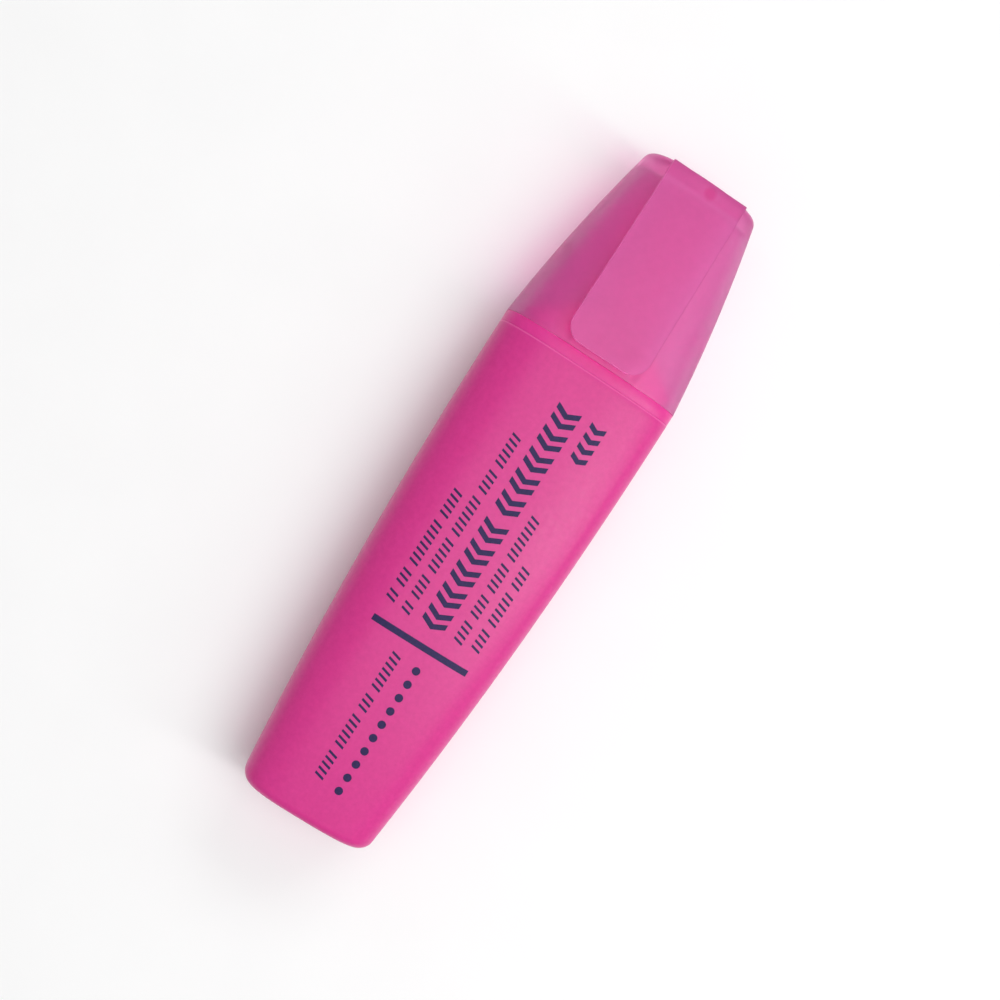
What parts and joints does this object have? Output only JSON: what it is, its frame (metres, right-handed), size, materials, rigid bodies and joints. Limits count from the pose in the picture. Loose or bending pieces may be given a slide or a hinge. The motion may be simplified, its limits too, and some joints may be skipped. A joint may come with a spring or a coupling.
{
  "type": "highlighter pen",
  "caption": "Flat flask-shaped chisel-tip highlighter with a translucent pull-off cap and a broad flat pocket clip, lying on its back with the cap on.",
  "frame": {"origin": "on the surface the pen lies on, under the middle of its box", "axes": "+X across the flat body, +Y along it from the tail to the cap's end, +Z through its thickness, out of the face with the clip"},
  "size_m": [0.0282, 0.106, 0.0156],
  "materials": {
    "barrel_plastic": "opaque fluorescent pink polypropylene, satin with a fine grain",
    "front_plastic": "saturated fluorescent pink polypropylene, smooth",
    "cap_plastic": "translucent pink polypropylene, frosted satin",
    "liner_plastic": "milky translucent polyethylene",
    "nib_felt": "dense felt soaked with fluorescent pink ink",
    "reservoir_fibre": "bundled polyester fibre soaked with ink",
    "film_plastic": "thin clear film, tinted by the ink",
    "print_ink": "dark navy pad-printed ink"
  },
  "bodies": {
    "barrel": {"barrel": "barrel_plastic", "front_section": "front_plastic", "nib": "nib_felt", "reservoir_core": "reservoir_fibre", "reservoir_film": "film_plastic"},
    "cap": {"cap_shell": "cap_plastic", "cap_liner": "liner_plastic"},
    "clip": {"clip": "cap_plastic"}
  },
  "joints": [
    {"name": "cap_pull", "type": "slide", "parent": "barrel", "child": "cap", "axis": [0, 1, 0], "range_m": [0, 0.04]},
    {"name": "clip_flex", "type": "hinge", "parent": "cap", "child": "clip", "pos_m": [0, 0.0514, 0.01235], "axis": [-1, 0, 0], "range_deg": [0, 4], "stiffness_Nm_per_rad": 0.3}
  ]
}
